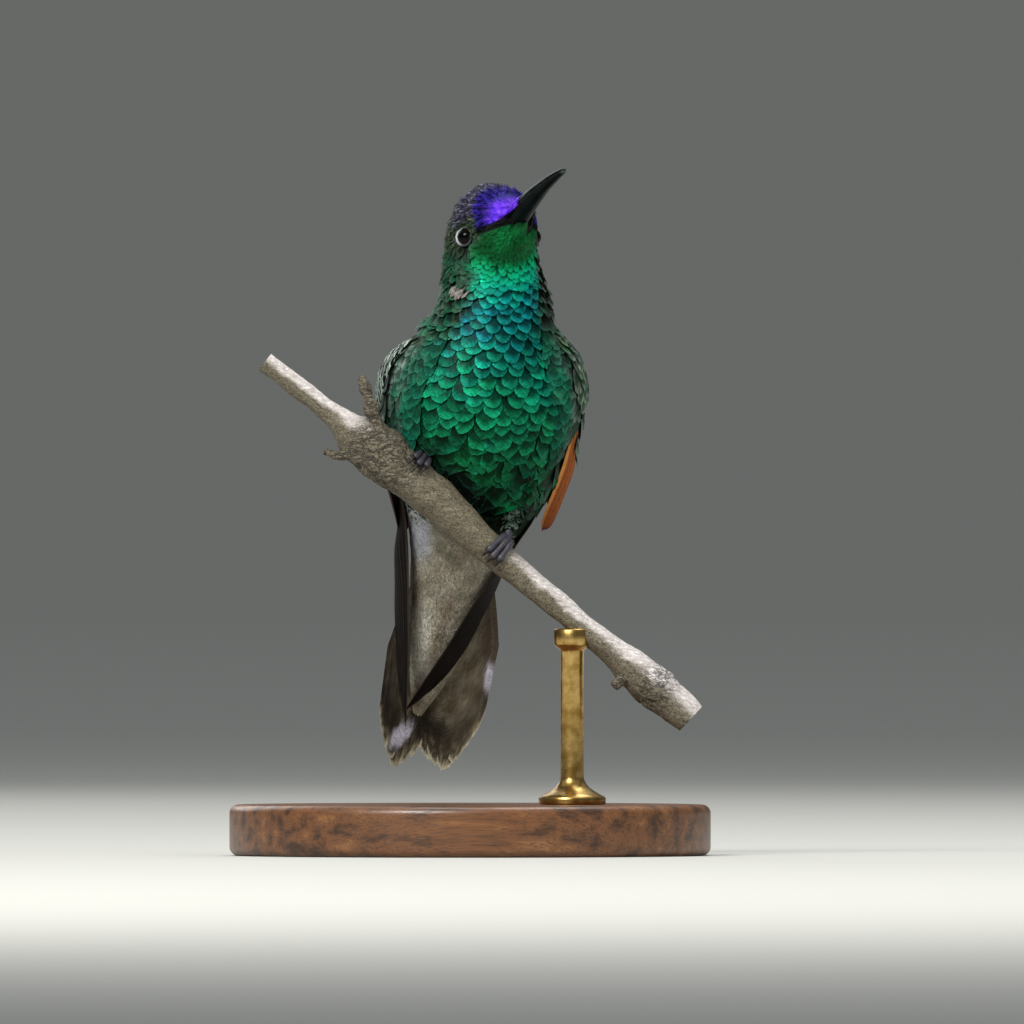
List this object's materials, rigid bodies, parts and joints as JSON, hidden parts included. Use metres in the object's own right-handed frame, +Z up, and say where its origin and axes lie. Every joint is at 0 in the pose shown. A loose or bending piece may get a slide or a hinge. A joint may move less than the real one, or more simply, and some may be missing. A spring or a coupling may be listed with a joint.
{
  "type": "blue-capped hummingbird model on a perch",
  "caption": "Life-size hummingbird with a violet forehead and green underparts, perched upright on a cut branch carried by a round display stand.",
  "frame": {"origin": "centre of the display base's underside, on the floor", "axes": "+Z up, the bird's breast faces -Y, its left side is at +X; the branch falls from -X to +X"},
  "size_m": [0.066, 0.066, 0.0942],
  "materials": {
    "violet_feathers": "iridescent violet forehead, dark green face",
    "throat_feathers": "iridescent emerald to turquoise scales",
    "breast_feathers": "iridescent teal and green scales, darker below",
    "vent_feathers": "soft grey-white down and coverts",
    "mantle_feathers": "bronze-green wing coverts",
    "rufous_feathers": "rufous vanes with a paler edge",
    "flight_feathers": "dusky blackish vanes, slightly glossy",
    "tail_feathers": "pale grey undersides with dusky areas",
    "eye": "wet dark brown",
    "bill": "black horn, satin",
    "leg_skin": "dusky scuted skin with black claws",
    "bark": "weathered silver-grey bark",
    "stand_wood": "oiled walnut",
    "stand_brass": "satin"
  },
  "bodies": {
    "root": {"tail_coverts": "vent_feathers", "tail": "tail_feathers", "trunk": "breast_feathers", "neck": "throat_feathers", "head": "violet_feathers", "bill_upper": "bill", "bill_lower": "bill", "eye_left": "eye", "wing_left_coverts": "mantle_feathers", "wing_left_secondaries": "rufous_feathers", "wing_left_primaries": "flight_feathers", "thigh_left": "breast_feathers", "foot_left": "leg_skin", "eye_right": "eye", "wing_right_coverts": "mantle_feathers", "wing_right_secondaries": "rufous_feathers", "wing_right_primaries": "flight_feathers", "thigh_right": "breast_feathers", "foot_right": "leg_skin", "perch": "bark", "stand_base": "stand_wood", "stand_rod": "stand_brass"}
  },
  "joints": []
}
